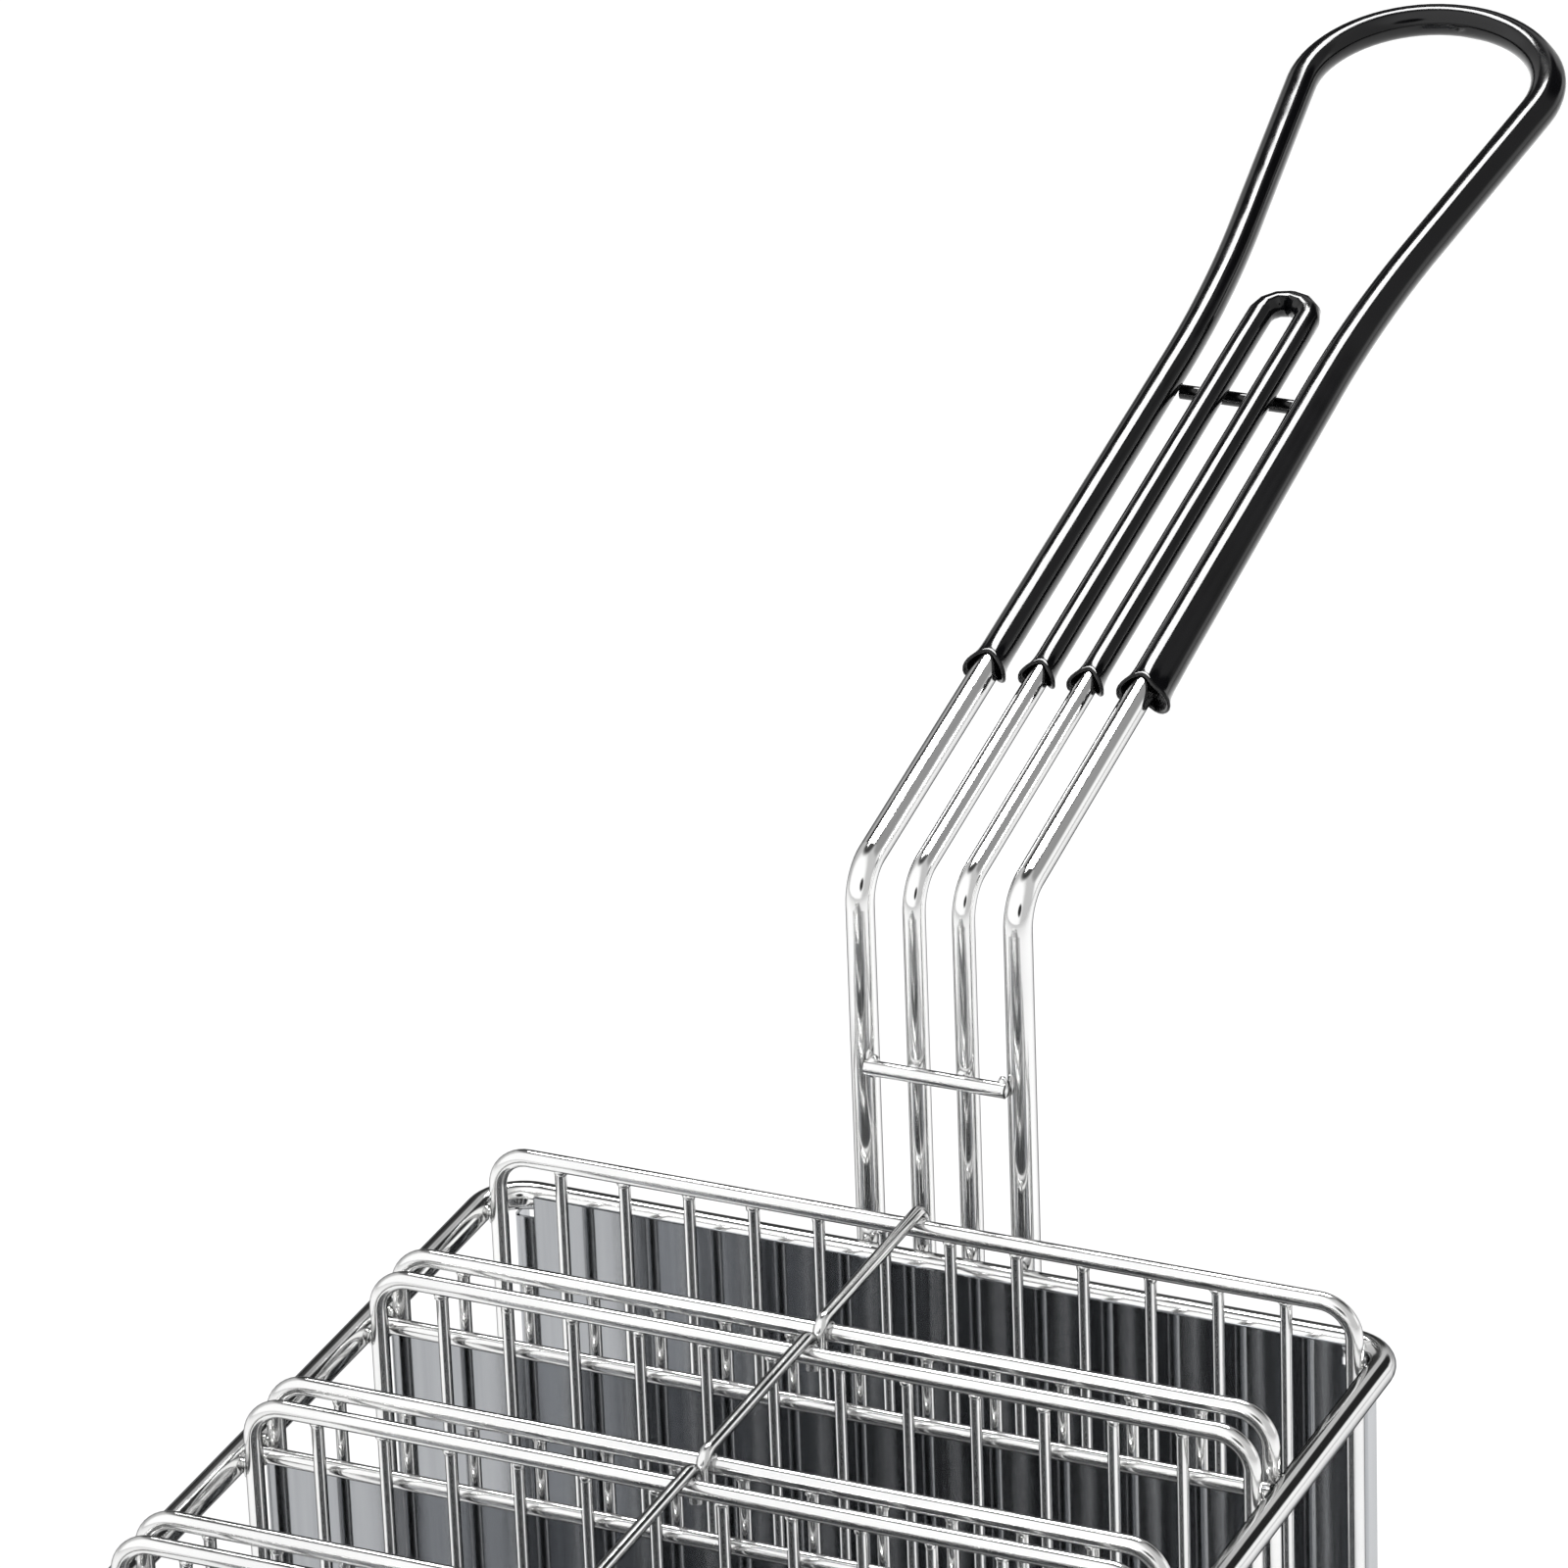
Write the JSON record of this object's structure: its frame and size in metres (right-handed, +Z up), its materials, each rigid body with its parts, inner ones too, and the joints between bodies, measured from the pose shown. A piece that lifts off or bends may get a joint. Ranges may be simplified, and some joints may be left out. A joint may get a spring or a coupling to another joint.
{
  "type": "taco frying basket",
  "caption": "Long open wire fryer basket with pairs of upright racks under spine wires, polished sheet dividers and a bent two-wire handle with a black dipped grip",
  "frame": {"origin": "on the ground under the middle of the basket", "axes": "+Z up, +Y along the basket towards the handle, +X across it"},
  "size_m": [0.165, 0.5803, 0.2554],
  "materials": {
    "bright_wire": "bright nickel plate",
    "polished_sheet": "mirror polished",
    "black_coating": "gloss"
  },
  "bodies": {
    "root": {"rim_wire": "bright_wire", "base_wire": "bright_wire", "floor_wire_1": "bright_wire", "floor_wire_2": "bright_wire", "floor_wire_3": "bright_wire", "floor_wire_4": "bright_wire", "floor_wire_5": "bright_wire", "floor_wire_6": "bright_wire", "floor_wire_7": "bright_wire", "former_1_back_rack": "bright_wire", "former_1_front_rack": "bright_wire", "former_2_back_rack": "bright_wire", "former_2_front_rack": "bright_wire", "former_3_back_rack": "bright_wire", "former_3_front_rack": "bright_wire", "former_4_back_rack": "bright_wire", "former_4_front_rack": "bright_wire", "former_5_back_rack": "bright_wire", "former_5_front_rack": "bright_wire", "former_6_back_rack": "bright_wire", "former_6_front_rack": "bright_wire", "former_7_back_rack": "bright_wire", "former_7_front_rack": "bright_wire", "spine_wire_1": "bright_wire", "spine_wire_2": "bright_wire", "spine_wire_3": "bright_wire", "spine_wire_4": "bright_wire", "spine_wire_5": "bright_wire", "spine_wire_6": "bright_wire", "spine_wire_7": "bright_wire", "cross_bar_1": "bright_wire", "cross_bar_2": "bright_wire", "cross_bar_3": "bright_wire", "cross_bar_4": "bright_wire", "cross_bar_5": "bright_wire", "cross_bar_6": "bright_wire", "handle_outer_wire": "bright_wire", "handle_inner_wire": "bright_wire", "lower_brace": "bright_wire", "back_panel": "polished_sheet", "front_panel": "polished_sheet", "divider_1": "polished_sheet", "divider_2": "polished_sheet", "divider_3": "polished_sheet", "divider_4": "polished_sheet", "divider_5": "polished_sheet", "divider_6": "polished_sheet", "upper_brace": "black_coating", "outer_coating": "black_coating", "inner_coating": "black_coating"}
  },
  "joints": []
}
